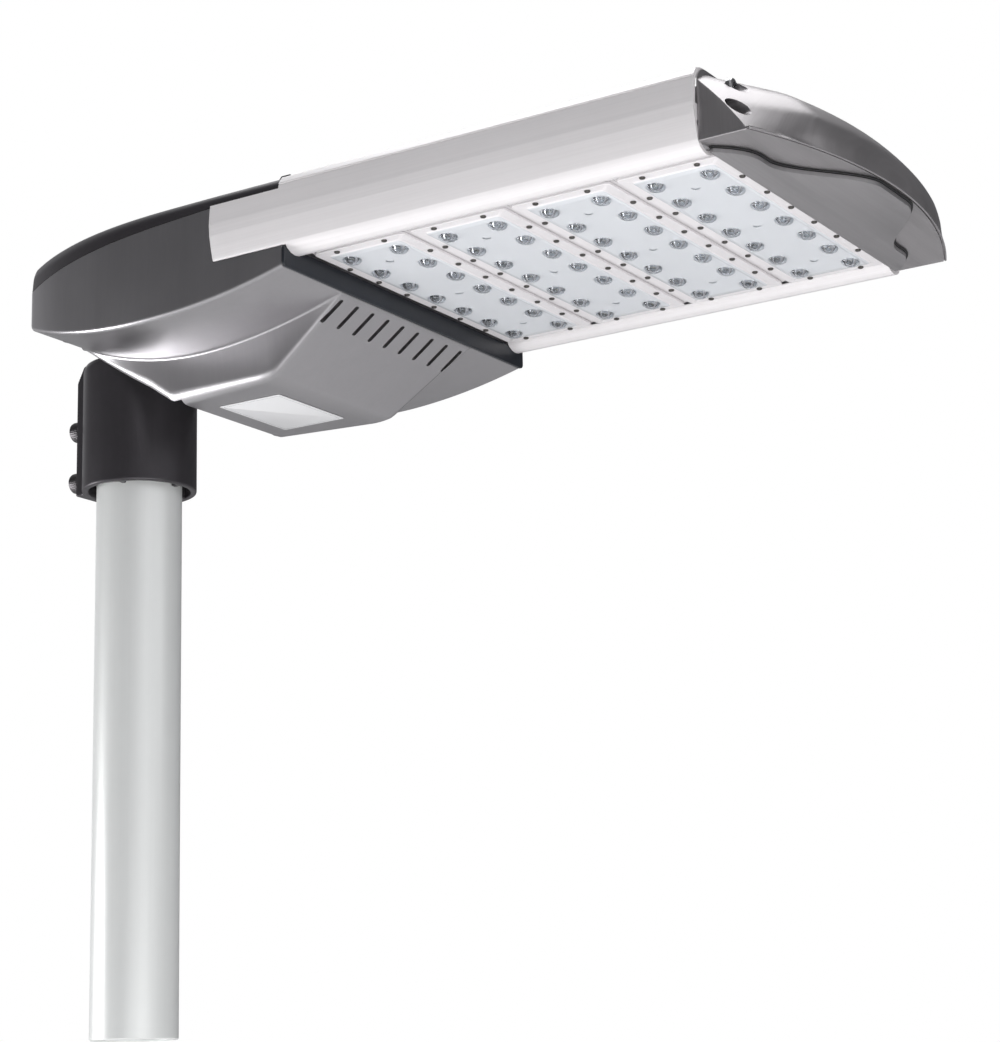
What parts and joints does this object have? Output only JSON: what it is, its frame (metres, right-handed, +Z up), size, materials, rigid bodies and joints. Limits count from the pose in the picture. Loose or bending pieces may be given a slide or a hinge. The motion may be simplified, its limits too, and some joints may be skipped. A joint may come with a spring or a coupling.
{
  "type": "street lamp head on post section",
  "caption": "Flat LED street lamp head with rear gear housing and keel, clamped by a tilting collar to the top section of a round post.",
  "frame": {"origin": "centre of the post section's lower end", "axes": "+Z up along the post, +X from the post towards the lamp's tip, +Y to the lamp's left"},
  "size_m": [0.6427, 0.2886, 0.5295],
  "materials": {
    "post_metal": "satin silver coat on steel tube",
    "dark_casting": "graphite powder coat",
    "light_casting": "satin grey casting",
    "steel": "stainless",
    "rubber": "matte",
    "silicone": "pale silicone",
    "extrusion": "brushed and anodised",
    "slate_bar": "dark slate",
    "clear_lens": "clear moulded",
    "board": "white solder mask",
    "sheet_steel": "zinc plated",
    "driver_paint": "grey paint",
    "terminal_plastic": "moulded",
    "surge_plastic": "moulded",
    "black_nylon": "moulded",
    "label_foil": "bare foil"
  },
  "bodies": {
    "post": {"post_tube": "post_metal", "spigot_collar": "dark_casting", "clamp_bolt_1": "steel", "clamp_bolt_2": "steel", "clamp_bolt_3": "steel", "clamp_bolt_4": "steel"},
    "head": {"lower_housing": "light_casting", "pivot_bolt": "steel", "pivot_nut": "steel", "cover_hinge_pin_left": "steel", "cover_hinge_pin_right": "steel", "cover_seal": "rubber", "side_rail_left": "extrusion", "side_rail_right": "extrusion", "heat_sink": "extrusion", "front_bar": "slate_bar", "lens_plate_1": "clear_lens", "lens_plate_2": "clear_lens", "lens_plate_3": "clear_lens", "lens_plate_4": "clear_lens", "lens_gasket_1": "silicone", "lens_gasket_2": "silicone", "lens_gasket_3": "silicone", "lens_gasket_4": "silicone", "led_board_1": "board", "led_board_2": "board", "led_board_3": "board", "led_board_4": "board", "end_cap": "light_casting", "end_cap_screw_1": "steel", "end_cap_screw_2": "steel", "end_cap_screw_3": "steel", "end_cap_screw_4": "steel", "end_cap_lower_plate": "light_casting", "end_cap_gasket": "rubber", "gear_tray": "sheet_steel", "tray_screw_1": "steel", "tray_screw_2": "steel", "tray_screw_3": "steel", "tray_screw_4": "steel", "led_driver": "driver_paint", "terminal_block": "terminal_plastic", "surge_protector": "surge_plastic", "cable_gland": "black_nylon", "gland_nut": "black_nylon", "rating_plate": "label_foil"},
    "cover": {"top_cover": "dark_casting", "cover_screw_left": "steel", "cover_screw_right": "steel"}
  },
  "joints": [
    {"name": "head_tilt", "type": "hinge", "parent": "post", "child": "head", "pos_m": [0.016, 0, 0.493], "axis": [0, -1, 0], "range_deg": [-5, 15]},
    {"name": "cover_open", "type": "hinge", "parent": "head", "child": "cover", "pos_m": [0.2385, 0, 0.525], "axis": [0, 1, 0], "range_deg": [0, 90]}
  ]
}
